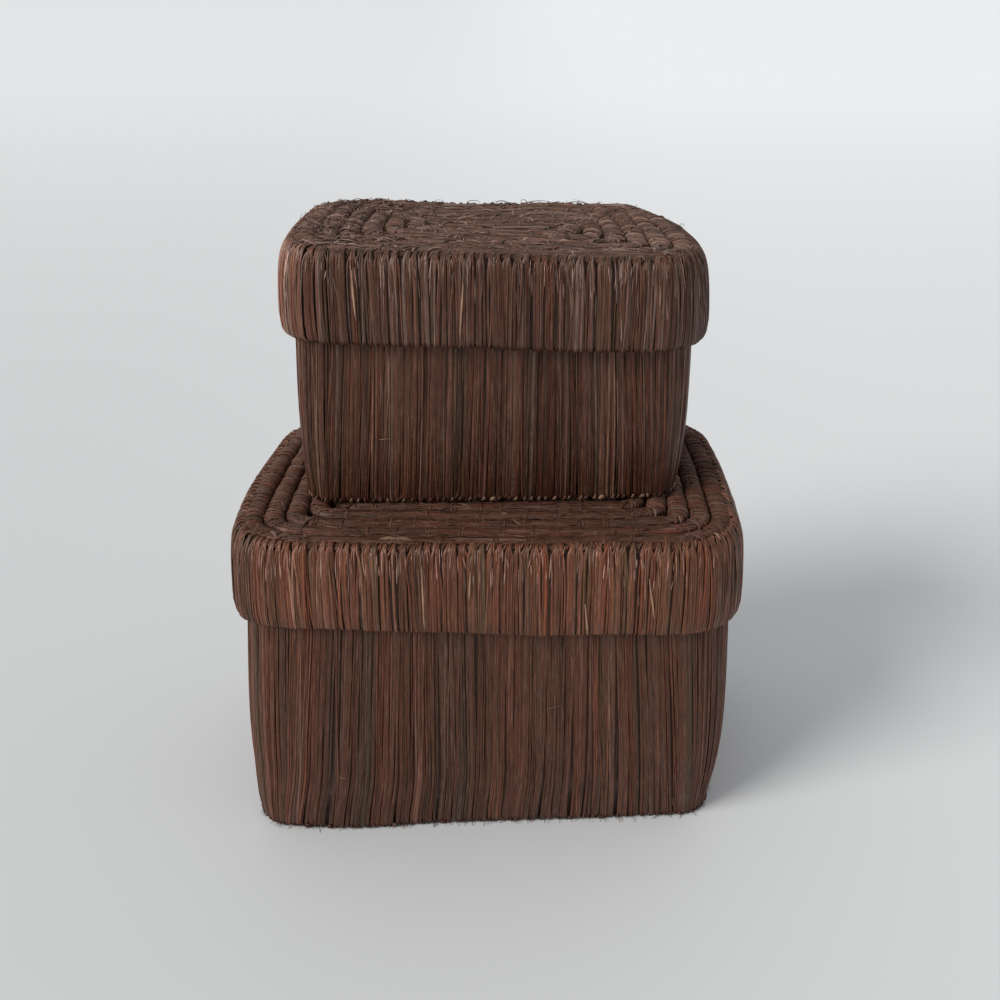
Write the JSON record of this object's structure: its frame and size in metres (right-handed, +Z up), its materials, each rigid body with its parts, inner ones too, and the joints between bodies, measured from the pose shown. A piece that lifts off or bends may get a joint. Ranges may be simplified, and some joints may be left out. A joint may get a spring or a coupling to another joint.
{
  "type": "lidded raffia box pair",
  "caption": "Rounded rectangular raffia boxes with lift-off coiled lids, the smaller box stacked on the lid of the larger one.",
  "frame": {"origin": "centre of the bounding box at its bottom, under the middle of the large lid", "axes": "+Z up, +X to the right of the front view, -Y towards the front"},
  "size_m": [0.225, 0.148, 0.2552],
  "materials": {
    "raffia_wall": "satin",
    "raffia_skirt": "satin",
    "raffia_coil": "matte",
    "raffia_knots": "matte",
    "card": "matte"
  },
  "bodies": {
    "large_body": {"large_base_coil": "raffia_coil", "large_base_board": "card", "large_body_card": "card", "large_body_wrap": "raffia_wall", "large_foot_knots": "raffia_knots"},
    "large_lid": {"large_lid_card": "card", "large_lid_wrap": "raffia_skirt", "large_lid_board": "card", "large_lid_coil": "raffia_coil", "large_lid_knots": "raffia_knots"},
    "small_body": {"small_base_coil": "raffia_coil", "small_base_board": "card", "small_body_card": "card", "small_body_wrap": "raffia_wall", "small_foot_knots": "raffia_knots"},
    "small_lid": {"small_lid_card": "card", "small_lid_wrap": "raffia_skirt", "small_lid_board": "card", "small_lid_coil": "raffia_coil", "small_lid_knots": "raffia_knots"}
  },
  "joints": [
    {"name": "large_lid_lift", "type": "slide", "parent": "large_body", "child": "large_lid", "axis": [0, 0, 1], "range_m": [0, 0.045]},
    {"name": "small_box_lift", "type": "slide", "parent": "large_lid", "child": "small_body", "axis": [0, 0, 1], "range_m": [0, 0.04]},
    {"name": "small_lid_lift", "type": "slide", "parent": "small_body", "child": "small_lid", "axis": [0, 0, 1], "range_m": [0, 0.04]}
  ]
}
